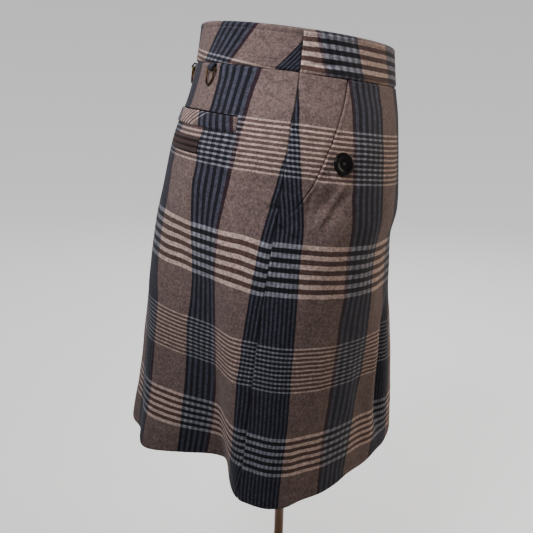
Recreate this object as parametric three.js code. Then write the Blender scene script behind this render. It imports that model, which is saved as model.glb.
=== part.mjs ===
// A filled-out A-line golf skirt on a plain hip form, pole and round base.
// Millimetres, +Z up. The front faces -Y and the wearer's right side faces -X.
// A place on the skirt is named by a turn and a drop. The turn is in degrees:
// 0 at the right side, 90 at centre front, 180 at the left side, -90 at centre
// back. The drop is measured down the side from the waist seam; the waistband
// lies at drops below zero.
import * as THREE from "three";

// Real sizes
const HEM_HEIGHT = 250;      // hem above the floor
const SKIRT_LENGTH = 391;    // waist seam to hem at the side
const BAND_HEIGHT = 36;
const WAIST_SLOPE = 0.1;     // the waist seam falls toward the back by this share of the reach
const CLOTH = 1.6;           // panel wall
const BAND_WALL = 2.4;       // waistband wall, two layers and its filling
const BAND_PROUD = 0.5;      // waistband stands this far out of the panels
const SEAM_GAP = 0.3;
const LIE_GAP = 0.35;        // under whatever lies on a panel
const SEAM_Z = HEM_HEIGHT + SKIRT_LENGTH;

// Sections of the filled-out skirt without its folds
const SECTIONS = [
  { drop: -36, side: 119, front: 98, back: 93 },
  { drop: 0, side: 122, front: 102, back: 98.5 },
  { drop: 33, side: 134, front: 106.5, back: 107 },
  { drop: 73, side: 146, front: 109.5, back: 122 },
  { drop: 123, side: 154.5, front: 111.5, back: 132.5 },
  { drop: 153, side: 158, front: 107, back: 138.5 },
  { drop: 203, side: 160, front: 109.5, back: 147 },
  { drop: 263, side: 162, front: 114.5, back: 153.5 },
  { drop: 323, side: 165, front: 119, back: 160.5 },
  { drop: 391, side: 168, front: 122, back: 171.5 },
];

// How far the hem rises above its lowest level, by turn
const HEM_RISE = [
  { turn: -90, rise: 13 }, { turn: -55, rise: 10 }, { turn: -20, rise: 5 }, { turn: 0, rise: 4 }, { turn: 25, rise: -2 },
  { turn: 48, rise: -3 }, { turn: 70, rise: 4 }, { turn: 90, rise: 13 }, { turn: 112, rise: 5 }, { turn: 140, rise: 0 },
  { turn: 180, rise: 4 }, { turn: 215, rise: 6 }, { turn: 240, rise: 9 }, { turn: 270, rise: 13 },
];

// Largest folds: turn at the hem and where the fold starts, reach to each
// side in degrees, depth at the hem (minus goes in), and the drop it starts at
const FOLDS = [
  { name: "back side valley", hem: -30, start: -38, backward: 38, forward: 17, depth: -46, from: 110 },
  { name: "side ridge", hem: -4, start: -2, backward: 11, forward: 15, depth: 9, from: 130 },
  { name: "front side hollow", hem: 40, start: 45, backward: 55, forward: 52, depth: -25, from: 60 },
  { name: "front ripple", hem: 97, start: 97, backward: 10, forward: 12, depth: 5, from: 180 },
  { name: "back dent", hem: -73, start: -73, backward: 14, forward: 14, depth: -8, from: 150 },
  { name: "left back valley", hem: 215, start: 218, backward: 18, forward: 28, depth: -34, from: 120 },
  { name: "left ridge", hem: 188, start: 184, backward: 15, forward: 15, depth: 8, from: 140 },
  { name: "left front hollow", hem: 138, start: 134, backward: 50, forward: 46, depth: -22, from: 70 },
];

// Right side seam, and the slanted pocket opening in front of it
const SIDE_SEAM = [
  { drop: -36, turn: 2.0 }, { drop: 0, turn: 0.5 }, { drop: 20, turn: -0.7 }, { drop: 46, turn: -3 },
  { drop: 92, turn: -5 }, { drop: 128, turn: -7.1 }, { drop: 185, turn: -9.5 }, { drop: 240, turn: -11.5 },
  { drop: 284, turn: -12.6 }, { drop: 320, turn: -13.5 }, { drop: 352, turn: -14.2 }, { drop: 391, turn: -15.5 },
];
const SLANT = [
  { drop: 0, turn: 25.7 }, { drop: 18, turn: 23.5 }, { drop: 37, turn: 20 }, { drop: 51, turn: 17.5 },
  { drop: 64, turn: 14.5 }, { drop: 81, turn: 10.5 }, { drop: 92, turn: 8 }, { drop: 105, turn: 3.6 },
  { drop: 118, turn: -1.4 }, { drop: 128, turn: -7.1 },
];
const SLANT_END = 128;

const material = (color, roughness, metalness) => new THREE.MeshStandardMaterial({ color, roughness, metalness });
const MATERIALS = {
  plaid_cloth: material(0x7c6c62, 0.9, 0),
  brown_patch: material(0x3a2a22, 0.7, 0),
  dark_horn: material(0x1c1614, 0.35, 0),
  dark_brass: material(0x4a3c28, 0.35, 1),
  dark_metal: material(0x2c2a2a, 0.4, 1),
  form_cover: material(0xb9ab97, 0.85, 0),
  brown_metal: material(0x6b4a33, 0.4, 0.6),
};

const group = new THREE.Group();
group.name = "golf_skirt";

const V = (x, y, z) => new THREE.Vector3(x, y, z);
const rad = (degrees) => degrees * Math.PI / 180;
const clamp = (value, low, high) => Math.min(high, Math.max(low, value));
const smooth = (value) => { const t = clamp(value, 0, 1); return t * t * (3 - 2 * t); };
const wrap = (turn) => ((turn + 180) % 360 + 360) % 360 - 180;

// Smooth value of a named column of a table, by drop
function lookUp(rows, column, drop) {
  const at = clamp(drop, rows[0].drop, rows[rows.length - 1].drop);
  let i = 0;
  while (i < rows.length - 2 && at > rows[i + 1].drop) i++;
  const slope = (k) => {
    const a = rows[Math.max(0, k - 1)], b = rows[Math.min(rows.length - 1, k + 1)];
    return (b[column] - a[column]) / (b.drop - a.drop);
  };
  const gap = rows[i + 1].drop - rows[i].drop, t = (at - rows[i].drop) / gap;
  return (2 * t ** 3 - 3 * t ** 2 + 1) * rows[i][column] + (t ** 3 - 2 * t ** 2 + t) * gap * slope(i)
    + (-2 * t ** 3 + 3 * t ** 2) * rows[i + 1][column] + (t ** 3 - t ** 2) * gap * slope(i + 1);
}

// Straight value between the rows of a table
function along(rows, column, drop) {
  let i = 0;
  while (i < rows.length - 2 && drop > rows[i + 1].drop) i++;
  const t = clamp((drop - rows[i].drop) / (rows[i + 1].drop - rows[i].drop), 0, 1);
  return rows[i][column] + (rows[i + 1][column] - rows[i][column]) * t;
}

function risen(turn) {
  const at = ((turn + 90) % 360 + 360) % 360 - 90;
  let i = 0;
  while (i < HEM_RISE.length - 2 && at > HEM_RISE[i + 1].turn) i++;
  const a = HEM_RISE[i], b = HEM_RISE[i + 1];
  return a.rise + (b.rise - a.rise) * smooth((at - a.turn) / (b.turn - a.turn));
}

// Point of the skirt's outer face, with or without its folds
function skirtPoint(turn, drop, folded = true) {
  const s = Math.sin(rad(turn)), c = Math.cos(rad(turn));
  const end = s >= 0 ? "front" : "back";
  let x = -lookUp(SECTIONS, "side", drop) * c, forward = lookUp(SECTIONS, end, drop) * s;
  let push = 0, lift = 0;
  if (folded) {
    for (const fold of FOLDS) {
      const share = clamp((drop - fold.from) / (SKIRT_LENGTH - fold.from), 0, 1);
      if (share === 0) continue;
      const away = wrap(turn - (fold.start + (fold.hem - fold.start) * share));
      const reach = Math.abs(away) / (away < 0 ? fold.backward : fold.forward);
      if (reach >= 1) continue;
      const grown = fold.from < 100 ? smooth(share) : share ** 1.4;
      const depth = fold.depth * grown * Math.cos(Math.PI / 2 * reach) ** 2;
      push += depth;
      if (depth < 0) lift -= depth * 0.25;
    }
  }
  const out = Math.hypot(x, forward), scale = (out + push) / out;
  x *= scale; forward *= scale;
  const seam = SEAM_Z - WAIST_SLOPE * lookUp(SECTIONS, end, 0) * s;
  const share = clamp(drop / SKIRT_LENGTH, 0, 1);
  const hem = HEM_HEIGHT + risen(turn);
  const z = drop < 0 ? seam - drop : seam + (hem - seam) * share + lift * share;
  return V(x, -forward, z);
}

// Frame at a place: forward along the ring, down the cloth, and out of it
function skirtFrame(turn, drop, folded = true) {
  const low = drop < -0.01 ? -BAND_HEIGHT : 0, high = drop < -0.01 ? -0.02 : SKIRT_LENGTH;
  const at = clamp(drop, low, high);
  const across = skirtPoint(turn + 0.2, at, folded).sub(skirtPoint(turn - 0.2, at, folded));
  const down = skirtPoint(turn, Math.min(at + 1, high), folded).sub(skirtPoint(turn, Math.max(at - 1, low), folded)).normalize();
  const perDegree = across.length() / 0.4;
  across.normalize();
  const out = across.clone().cross(down).normalize();
  const point = skirtPoint(turn, drop, folded);
  if (out.x * point.x + out.y * point.y < 0) out.negate();
  const square = out.clone().cross(across).normalize();
  if (square.dot(down) < 0) square.negate();
  return { point, across, down: square, out, perDegree };
}

const moved = (turn, drop, distance, folded = true) => {
  const frame = skirtFrame(turn, drop, folded);
  return frame.point.addScaledVector(frame.out, distance);
};

// A named solid from its points and triangles, turned outward
function addSolid(name, slot, points, faces) {
  let volume = 0;
  for (const [a, b, c] of faces) volume += points[a].dot(points[b].clone().cross(points[c]));
  const geometry = new THREE.BufferGeometry();
  geometry.setAttribute("position", new THREE.Float32BufferAttribute(points.flatMap((p) => [p.x, p.y, p.z]), 3));
  geometry.setIndex(faces.flatMap(([a, b, c]) => volume > 0 ? [a, b, c] : [a, c, b]));
  geometry.computeVertexNormals();
  const mesh = new THREE.Mesh(geometry, MATERIALS[slot]);
  mesh.name = name;
  group.add(mesh);
  return mesh;
}

// A closed wall from two equal grids of points, outer and inner
function addWall(name, slot, outer, inner) {
  const rows = outer.length, cols = outer[0].length, points = [], faces = [];
  for (const grid of [outer, inner]) for (const row of grid) points.push(...row);
  const o = (r, c) => r * cols + c, n = (r, c) => rows * cols + r * cols + c;
  const quad = (a, b, c, d) => faces.push([a, b, c], [a, c, d]);
  for (let r = 0; r < rows - 1; r++) for (let c = 0; c < cols - 1; c++) {
    const falling = outer[r][c].distanceTo(outer[r + 1][c + 1]) < outer[r][c + 1].distanceTo(outer[r + 1][c]);
    if (falling) {
      quad(o(r, c), o(r + 1, c), o(r + 1, c + 1), o(r, c + 1));
      quad(n(r + 1, c + 1), n(r + 1, c), n(r, c), n(r, c + 1));
    } else {
      quad(o(r + 1, c), o(r + 1, c + 1), o(r, c + 1), o(r, c));
      quad(n(r, c + 1), n(r + 1, c + 1), n(r + 1, c), n(r, c));
    }
  }
  for (let r = 0; r < rows - 1; r++) {
    quad(o(r, 0), n(r, 0), n(r + 1, 0), o(r + 1, 0));
    quad(o(r, cols - 1), o(r + 1, cols - 1), n(r + 1, cols - 1), n(r, cols - 1));
  }
  for (let c = 0; c < cols - 1; c++) {
    quad(o(0, c), o(0, c + 1), n(0, c + 1), n(0, c));
    quad(o(rows - 1, c), n(rows - 1, c), n(rows - 1, c + 1), o(rows - 1, c + 1));
  }
  return addSolid(name, slot, points, faces);
}

// A piece of cloth between two edges, row by row; out is the outer face's offset
function addPiece(name, slot, { drops, cols, first, last, wall, out = () => 0 }) {
  const outer = [], inner = [];
  for (const drop of drops) {
    const a = first(drop), b = last(drop), top = [], under = [];
    for (let c = 0; c <= cols; c++) {
      const turn = a + (b - a) * c / cols, offset = out(turn, drop);
      top.push(moved(turn, drop, offset));
      under.push(moved(turn, drop, offset - wall));
    }
    outer.push(top); inner.push(under);
  }
  return addWall(name, slot, outer, inner);
}

// Seam edges, half the gap to each side
const halfGap = (turn, drop) => SEAM_GAP / 2 / skirtFrame(turn, drop).perDegree;
const rightSeam = (drop) => along(SIDE_SEAM, "turn", drop);
const leftSeam = (drop) => 180 - rightSeam(drop);
const rightSlant = (drop) => drop < SLANT_END ? along(SLANT, "turn", drop) : rightSeam(drop);
const frontRight = (drop) => drop < SLANT_END ? rightSlant(drop) : rightSeam(drop) + halfGap(rightSeam(drop), drop);
const frontLeft = (drop) => drop < SLANT_END ? 180 - rightSlant(drop) : leftSeam(drop) - halfGap(leftSeam(drop), drop);
const backRight = (drop) => rightSeam(drop) - halfGap(rightSeam(drop), drop);
const backLeft = (drop) => leftSeam(drop) - 360 + halfGap(leftSeam(drop), drop);

const PANEL_DROPS = [0, 18, 37, 51, 64, 81, 92, 105, 118, 128, 150, 175, 200, 228, 256, 284, 312, 340, 366, 391];
const FACING_DROPS = [0, 18, 37, 51, 64, 81, 92, 105, 118, 128, 138];
const BAND_DROPS = [-BAND_HEIGHT, -20, -SEAM_GAP];

// Front and back of the skirt
addPiece("front_panel", "plaid_cloth", { drops: PANEL_DROPS, cols: 30, first: frontRight, last: frontLeft, wall: CLOTH });
addPiece("back_panel", "plaid_cloth", { drops: PANEL_DROPS, cols: 34, first: backLeft, last: backRight, wall: CLOTH });

// Pocket facings behind the two slanted openings: flush at the side seam,
// under the front panel at the opening and a little past it
const UNDERLAP = 10;
const FACING_GAP = 0.5;
const facingDepth = (away, width, drop) =>
  -(CLOTH + FACING_GAP) * Math.max(smooth(away / (0.65 * width)), smooth((drop - 105) / 13));
addPiece("pocket_facing_right", "plaid_cloth", {
  drops: FACING_DROPS, cols: 5, wall: CLOTH,
  first: (drop) => rightSeam(drop) + halfGap(rightSeam(drop), drop),
  last: (drop) => rightSlant(drop) + UNDERLAP / skirtFrame(rightSlant(drop), drop).perDegree,
  out: (turn, drop) => facingDepth(turn - rightSeam(drop), Math.max(rightSlant(drop) - rightSeam(drop), 0.5), drop),
});
addPiece("pocket_facing_left", "plaid_cloth", {
  drops: FACING_DROPS, cols: 5, wall: CLOTH,
  first: (drop) => leftSeam(drop) - halfGap(leftSeam(drop), drop),
  last: (drop) => 180 - rightSlant(drop) - UNDERLAP / skirtFrame(180 - rightSlant(drop), drop).perDegree,
  out: (turn, drop) => facingDepth(leftSeam(drop) - turn, Math.max(rightSlant(drop) - rightSeam(drop), 0.5), drop),
});

// Waistband, in a front and a back piece joined at the sides
addPiece("waistband_front", "plaid_cloth", {
  drops: BAND_DROPS, cols: 30, wall: BAND_WALL, out: () => BAND_PROUD,
  first: (drop) => rightSeam(drop) + halfGap(rightSeam(drop), drop),
  last: (drop) => leftSeam(drop) - halfGap(leftSeam(drop), drop),
});
addPiece("waistband_back", "plaid_cloth", { drops: BAND_DROPS, cols: 30, wall: BAND_WALL, out: () => BAND_PROUD, first: backLeft, last: backRight });

// Welt of the right back pocket, and the plain patch below it
addPiece("welt_right", "plaid_cloth", {
  drops: [43.5, 50, 56.5], cols: 12, wall: 1.2, out: () => LIE_GAP + 1.2, first: () => -78, last: () => -27,
});
addPiece("patch_right", "brown_patch", {
  drops: [66, 80], cols: 7, wall: 1, out: () => LIE_GAP + 1, first: () => -71.5, last: () => -45.5,
});

// A mesh of a stock geometry, with its local X along the ring, Y up the cloth and Z out of it
function placeOn(name, slot, geometry, frame, lift) {
  const mesh = new THREE.Mesh(geometry, MATERIALS[slot]);
  mesh.name = name;
  const up = frame.down.clone().negate();
  mesh.quaternion.setFromRotationMatrix(new THREE.Matrix4().makeBasis(up.clone().cross(frame.out), up, frame.out));
  mesh.position.copy(frame.point).addScaledVector(frame.out, lift);
  group.add(mesh);
  return mesh;
}

// A turned solid from a profile of reach and rise, its axis along Z
function turned(profile, sides) {
  const geometry = new THREE.LatheGeometry(profile.map(([reach, rise]) => new THREE.Vector2(reach, rise)), sides);
  return geometry.rotateX(Math.PI / 2);
}

// Pocket buttons: flat back, rounded edge, dished face
const BUTTON_RADIUS = 10;
const BUTTON_PROFILE = [[0, 0], [BUTTON_RADIUS - 1.5, 0], [BUTTON_RADIUS, 1], [BUTTON_RADIUS, 2], [BUTTON_RADIUS - 1, 3],
  [BUTTON_RADIUS - 3, 3], [BUTTON_RADIUS - 4.5, 2], [0, 2]];
placeOn("button_right", "dark_horn", turned(BUTTON_PROFILE, 24), skirtFrame(21.4, 72), LIE_GAP);
placeOn("button_left", "dark_horn", turned(BUTTON_PROFILE, 24), skirtFrame(158.6, 72), LIE_GAP);

// Hanging rings: a straight bar held in a folded tab, and a bow below it.
// The ring's own plane leans toward the panel, as it hangs.
function addRing(name, slot, frame, lift, { halfWidth, height, wire, lean }) {
  const bar = frame.point.clone().addScaledVector(frame.out, lift);
  const down = frame.down.clone().multiplyScalar(Math.cos(rad(lean))).addScaledVector(frame.out, -Math.sin(rad(lean)));
  const path = [];
  for (const share of [-0.5, 0, 0.5]) path.push([halfWidth * share * 1.5, 0]);
  for (let i = 0; i <= 14; i++) {
    const angle = Math.PI * i / 14;
    path.push([halfWidth * Math.cos(angle), height * (i === 0 || i === 14 ? 0.035 : Math.sin(angle) ** 0.8)]);
  }
  const centres = path.map(([a, d]) => bar.clone().addScaledVector(frame.across, a).addScaledVector(down, d));
  const face = frame.across.clone().cross(down).normalize();
  const points = [], faces = [], count = centres.length, sides = 8;
  for (let i = 0; i < count; i++) {
    const ahead = centres[(i + 1) % count].clone().sub(centres[(i + count - 1) % count]).normalize();
    const side = ahead.clone().cross(face).normalize();
    for (let k = 0; k < sides; k++) {
      const angle = (k + 0.5) / sides * 2 * Math.PI;
      points.push(centres[i].clone().addScaledVector(side, wire * Math.cos(angle)).addScaledVector(face, wire * Math.sin(angle)));
    }
  }
  const p = (i, k) => (i % count) * sides + k % sides;
  for (let i = 0; i < count; i++) for (let k = 0; k < sides; k++)
    faces.push([p(i, k), p(i + 1, k), p(i + 1, k + 1)], [p(i, k), p(i + 1, k + 1), p(i, k + 1)]);
  return addSolid(name, slot, points, faces);
}

// A folded tab round a bar: its side view has a round tunnel for the bar
function addTab(name, slot, frame, lift, { width, tunnel, wall, rise, thickness }) {
  const radius = tunnel + wall, side = new THREE.Shape();
  side.moveTo(thickness - radius, rise);
  side.lineTo(-radius, rise);
  side.lineTo(-radius, 0);
  side.absarc(0, 0, radius, Math.PI, 2 * Math.PI, false);
  side.closePath();
  const hole = new THREE.Path();
  hole.absarc(0, 0, tunnel, 0, 2 * Math.PI, true);
  side.holes.push(hole);
  const geometry = new THREE.ExtrudeGeometry(side, { depth: width, bevelEnabled: false, curveSegments: 10 });
  geometry.translate(0, 0, -width / 2).rotateY(-Math.PI / 2);
  return placeOn(name, slot, geometry, frame, lift);
}

const D_RING = { halfWidth: 6.6, height: 15.5, wire: 0.9, lean: 4 };
const D_TAB = { width: 9.4, tunnel: 1.3, wall: 0.9, rise: 4.4, thickness: 2.2 };
for (const [place, turn] of [["right", -49], ["centre", -90]]) {
  const frame = skirtFrame(turn, 5), lift = LIE_GAP + D_TAB.tunnel + D_TAB.wall;
  addTab(`ring_tab_${place}`, "plaid_cloth", frame, lift, D_TAB);
  addRing(`d_ring_${place}`, "dark_brass", frame, lift, D_RING);
}

// Slider and pull of the hidden zip in the left side seam
const ZIP_PULL = { halfWidth: 2.6, height: 12, wire: 0.6, lean: 3 };
const ZIP_SLIDER = { width: 3.2, tunnel: 1, wall: 0.8, rise: 4, thickness: 2 };
const zipFrame = skirtFrame(leftSeam(-30), -30);
const zipLift = BAND_PROUD + LIE_GAP + ZIP_SLIDER.tunnel + ZIP_SLIDER.wall;
addTab("zip_slider", "dark_metal", zipFrame, zipLift, ZIP_SLIDER);
addRing("zip_pull", "dark_metal", zipFrame, zipLift, ZIP_PULL);

// A closed solid from rings of equal count, capped at both ends
function addRings(name, slot, rings) {
  const count = rings[0].length, points = rings.flat(), faces = [];
  const middle = (ring) => ring.reduce((sum, p) => sum.add(p), V(0, 0, 0)).divideScalar(count);
  const first = points.length, last = first + 1;
  points.push(middle(rings[0]), middle(rings[rings.length - 1]));
  const p = (r, i) => r * count + i % count;
  for (let i = 0; i < count; i++) {
    faces.push([first, p(0, i + 1), p(0, i)], [last, p(rings.length - 1, i), p(rings.length - 1, i + 1)]);
    for (let r = 0; r < rings.length - 1; r++)
      faces.push([p(r, i), p(r, i + 1), p(r + 1, i + 1)], [p(r, i), p(r + 1, i + 1), p(r + 1, i)]);
  }
  return addSolid(name, slot, points, faces);
}

// Hip form inside: it carries the waistband and stays clear of the cloth below
const FORM_BOTTOM = SEAM_Z - 225;
const FORM = [
  { name: "top rim", drop: -34, inset: 9, level: 0 },
  { name: "top edge", drop: -32, inset: 4, level: 0 },
  { name: "band top", drop: -28, inset: 2.5, level: 0 },
  { name: "band middle", drop: -20, inset: 2.4, level: 0 },
  { name: "band low", drop: -4, inset: 2.4, level: 0 },
  { name: "waist", drop: 6, inset: 6.5, level: 0 },
  { name: "upper hip", drop: 40, inset: 8, level: 0 },
  { name: "hip", drop: 90, inset: 10, level: 0 },
  { name: "low hip", drop: 140, inset: 14, level: 0.1 },
  { name: "seat", drop: 180, inset: 22, level: 0.4 },
  { name: "under", drop: 208, inset: 34, level: 0.8 },
  { name: "bottom edge", drop: 222, inset: 52, level: 1 },
  { name: "bottom", drop: 226, inset: 72, level: 1 },
];
const FORM_SIDES = 40;
addRings("hip_form", "form_cover", FORM.map(({ drop, inset, level }, row) => {
  const ring = [];
  for (let i = 0; i < FORM_SIDES; i++) {
    const turn = i / FORM_SIDES * 360, p = moved(turn, drop, -inset, false);
    const flat = FORM_BOTTOM + [0, 5, 22][clamp(FORM.length - 1 - row, 0, 2)];
    p.z += (row >= FORM.length - 3 ? (flat - p.z) * (level === 1 ? 1 : level) : 0);
    ring.push(p);
  }
  return ring;
}));

function addUpright(name, slot, geometry) {
  const mesh = new THREE.Mesh(geometry, MATERIALS[slot]);
  mesh.name = name;
  group.add(mesh);
}

// Pole with its flange under the form, and the round base it stands on
const BASE_THICK = 16;
const poleTop = FORM_BOTTOM - SEAM_GAP, poleFoot = BASE_THICK + SEAM_GAP;
addUpright("pole", "brown_metal", turned([[0, poleFoot], [5.5, poleFoot], [5.5, poleTop - 14], [9, poleTop - 6],
  [24, poleTop - 4], [24, poleTop], [0, poleTop]], 32));
addUpright("base", "brown_metal", turned([[0, 0], [126, 0], [130, 3], [130, 8], [126, 11], [20, BASE_THICK - 2],
  [14, BASE_THICK], [0, BASE_THICK]], 64));

export default group;
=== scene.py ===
"""Looks for the golf skirt on its hip form stand.

The skirt's lengths are millimetres, turned to metres when a mesh is made. A place on the skirt is a turn in
degrees, from the wearer's right by the front to the left, and a drop down the cloth from the waist seam.
"""
import math

import bpy
import numpy as np
from mathutils import Matrix, Vector


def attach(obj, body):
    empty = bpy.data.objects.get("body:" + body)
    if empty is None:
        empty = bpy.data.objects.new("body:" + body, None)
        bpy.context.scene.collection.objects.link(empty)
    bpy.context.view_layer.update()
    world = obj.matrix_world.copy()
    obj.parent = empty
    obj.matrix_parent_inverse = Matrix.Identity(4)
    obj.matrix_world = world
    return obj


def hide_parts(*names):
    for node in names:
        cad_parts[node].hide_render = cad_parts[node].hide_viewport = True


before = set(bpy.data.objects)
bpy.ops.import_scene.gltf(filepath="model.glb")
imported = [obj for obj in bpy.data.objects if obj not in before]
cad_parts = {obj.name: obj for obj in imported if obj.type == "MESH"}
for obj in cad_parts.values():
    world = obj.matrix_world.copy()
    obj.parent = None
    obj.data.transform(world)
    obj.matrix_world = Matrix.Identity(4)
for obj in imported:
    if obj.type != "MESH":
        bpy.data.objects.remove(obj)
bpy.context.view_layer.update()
ROOT = "skirt_and_stand"

# Camera: place in metres, and the lens as a focal length in pixels of the picture's width
EYE = (-0.720, 0.023, 0.625)
PITCH_DOWN, ROLL = math.radians(14.5), math.radians(1.5)
FOCAL_PIXELS, FRAME_PIXELS, SENSOR_MM = 680.0, 533.0, 36.0


def make_camera():
    data = bpy.data.cameras.new("camera")
    data.sensor_fit, data.sensor_width = "HORIZONTAL", SENSOR_MM
    data.lens = FOCAL_PIXELS / FRAME_PIXELS * SENSOR_MM
    data.clip_start, data.clip_end = 0.01, 50.0
    level_right = Vector((0, -1, 0))
    ahead = Vector((math.cos(PITCH_DOWN), 0, -math.sin(PITCH_DOWN)))
    level_up = level_right.cross(ahead)
    right = level_right * math.cos(ROLL) + level_up * math.sin(ROLL)
    up = level_up * math.cos(ROLL) - level_right * math.sin(ROLL)
    turn = Matrix((right, up, -ahead)).transposed()
    camera = bpy.data.objects.new("camera", data)
    camera.matrix_world = Matrix.Translation(EYE) @ turn.to_4x4()
    bpy.context.scene.collection.objects.link(camera)
    bpy.context.scene.camera = camera


make_camera()

# The skirt's form
HEM_HEIGHT, SKIRT_LENGTH, BAND_HEIGHT, WAIST_SLOPE = 250.0, 391.0, 36.0, 0.1
CLOTH, BAND_WALL, BAND_PROUD, SEAM_GAP, LIE_GAP, FACING_GAP = 1.6, 2.4, 0.5, 0.3, 0.35, 0.5
FACING_TUCK = 10.0
SEAM_Z = HEM_HEIGHT + SKIRT_LENGTH
VALLEY_LIFT = 0.25

# drop below the waist seam, reach to the side, to the front and to the back
SECTIONS = np.array([
    (-36, 119, 98, 93), (0, 122, 102, 98.5), (33, 134, 106.5, 107), (73, 146, 109.5, 122),
    (123, 154.5, 111.5, 132.5), (153, 158, 107, 138.5), (203, 160, 109.5, 147),
    (263, 162, 114.5, 153.5), (323, 165, 119, 160.5), (391, 168, 122, 171.5)], float)
SIDE, FRONT, BACK = 1, 2, 3

# turn at the hem, turn at the start, reach backward and forward, depth at the hem, drop it starts at
FOLDS = {
    "back_side_valley": (-30, -38, 38, 17, -46, 110),
    "side_ridge": (-4, -2, 11, 15, 9, 130),
    "front_side_hollow": (40, 45, 55, 52, -25, 60),
    "front_ripple": (97, 97, 10, 12, 5, 180),
    "back_dent": (-73, -73, 14, 14, -8, 150),
    "left_back_valley": (215, 218, 18, 28, -34, 120),
    "left_ridge": (188, 184, 15, 15, 8, 140),
    "left_front_hollow": (138, 134, 50, 46, -22, 70),
}
# turn, rise of the hem
HEM_RISE = np.array([(-90, 13), (-55, 10), (-20, 5), (0, 4), (25, -2), (48, -3), (70, 4), (90, 13), (112, 5),
                     (140, 0), (180, 4), (215, 6), (240, 9), (270, 13)], float)
# drop, turn
SIDE_SEAM = np.array([(-36, 2.0), (0, 0.5), (20, -0.7), (46, -3), (92, -5), (128, -7.1), (185, -9.5),
                      (240, -11.5), (284, -12.6), (320, -13.5), (352, -14.2), (391, -15.5)], float)
SLANT = np.array([(0, 25.7), (18, 23.5), (37, 20), (51, 17.5), (64, 14.5), (81, 10.5), (92, 8), (105, 3.6),
                  (118, -1.4), (128, -7.1)], float)
SLANT_END = 128.0


def smooth(x):
    x = np.clip(x, 0, 1)
    return x * x * (3 - 2 * x)


def wrap(a):
    return (np.asarray(a) + 180) % 360 - 180


def look_up(column, drop):
    """A section's reach at a drop, on a smooth curve through the table's rows."""
    xs, ys = SECTIONS[:, 0], SECTIONS[:, column]
    n = len(xs)
    before, after = np.maximum(np.arange(n) - 1, 0), np.minimum(np.arange(n) + 1, n - 1)
    slope = (ys[after] - ys[before]) / (xs[after] - xs[before])
    at = np.clip(drop, xs[0], xs[-1])
    i = np.clip(np.searchsorted(xs, at, side="left") - 1, 0, n - 2)
    gap = xs[i + 1] - xs[i]
    t = (at - xs[i]) / gap
    return ((2 * t**3 - 3 * t**2 + 1) * ys[i] + (t**3 - 2 * t**2 + t) * gap * slope[i]
            + (-2 * t**3 + 3 * t**2) * ys[i + 1] + (t**3 - t**2) * gap * slope[i + 1])


def risen(turn):
    at = (np.asarray(turn) + 90) % 360 - 90
    xs, ys = HEM_RISE[:, 0], HEM_RISE[:, 1]
    i = np.clip(np.searchsorted(xs, at, side="left") - 1, 0, len(xs) - 2)
    return ys[i] + (ys[i + 1] - ys[i]) * smooth((at - xs[i]) / (xs[i + 1] - xs[i]))


def skirt_point(turn, drop, folded=True):
    turn, drop = np.broadcast_arrays(np.asarray(turn, float), np.asarray(drop, float))
    s, c = np.sin(np.radians(turn)), np.cos(np.radians(turn))
    front = s >= 0
    reach = np.where(front, look_up(FRONT, drop), look_up(BACK, drop))
    x, forward = -look_up(SIDE, drop) * c, reach * s
    push, lift = np.zeros_like(x), np.zeros_like(x)
    if folded:
        for hem, start, backward, ahead, deep, since in FOLDS.values():
            share = np.clip((drop - since) / (SKIRT_LENGTH - since), 0, 1)
            away = wrap(turn - (start + (hem - start) * share))
            near = np.abs(away) / np.where(away < 0, backward, ahead)
            grown = smooth(share) if since < 100 else share**1.4
            depth = deep * grown * np.cos(np.pi / 2 * np.clip(near, 0, 1))**2
            push += depth
            if deep < 0:
                lift -= depth * VALLEY_LIFT
    out = np.hypot(x, forward)
    scale = (out + push) / out
    x, forward = x * scale, forward * scale
    seam = SEAM_Z - WAIST_SLOPE * np.where(front, look_up(FRONT, 0 * drop), look_up(BACK, 0 * drop)) * s
    share = np.clip(drop / SKIRT_LENGTH, 0, 1)
    hem = HEM_HEIGHT + risen(turn)
    z = np.where(drop < 0, seam - drop, seam + (hem - seam) * share + lift * share)
    return np.stack([x, -forward, z], axis=-1)


def unit(v):
    return v / np.maximum(np.linalg.norm(v, axis=-1, keepdims=True), 1e-9)


def skirt_frame(turn, drop, folded=True):
    """Point, direction along the ring, down the cloth and out of it, and millimetres per degree."""
    turn, drop = np.broadcast_arrays(np.asarray(turn, float), np.asarray(drop, float))
    low = np.where(drop < -0.01, -BAND_HEIGHT, 0.0)
    high = np.where(drop < -0.01, -0.02, SKIRT_LENGTH)
    at = np.clip(drop, low, high)
    across = skirt_point(turn + 0.2, at, folded) - skirt_point(turn - 0.2, at, folded)
    lower, upper = np.minimum(at + 1, high), np.maximum(at - 1, low)
    down = skirt_point(turn, lower, folded) - skirt_point(turn, upper, folded)
    per_degree = np.linalg.norm(across, axis=-1) / 0.4
    across, down = unit(across), unit(down)
    out = unit(np.cross(across, down))
    point = skirt_point(turn, drop, folded)
    out = out * np.sign(np.sum(out[..., :2] * point[..., :2], axis=-1))[..., None]
    square = unit(np.cross(out, across))
    square = square * np.sign(np.sum(square * down, axis=-1))[..., None]
    return point, across, square, out, per_degree


def right_seam(drop):
    return np.interp(drop, SIDE_SEAM[:, 0], SIDE_SEAM[:, 1])


def left_seam(drop):
    return 180 - right_seam(drop)


def right_slant(drop):
    return np.where(np.asarray(drop) < SLANT_END, np.interp(drop, SLANT[:, 0], SLANT[:, 1]), right_seam(drop))


# Plaid coordinates
MM_PER_DEGREE = 2.55
# Where the weft bands lie down the panels, and the same lines in the even repeat
BAND_EDGES_DOWN = [-40, 0, 46, 93, 146, 194, 239, 282, 324, 361, 392, 430]
BAND_EDGES_EVEN = [-40, 0, 46, 92, 140, 186, 234, 280, 328, 374, 405, 443]


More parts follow.
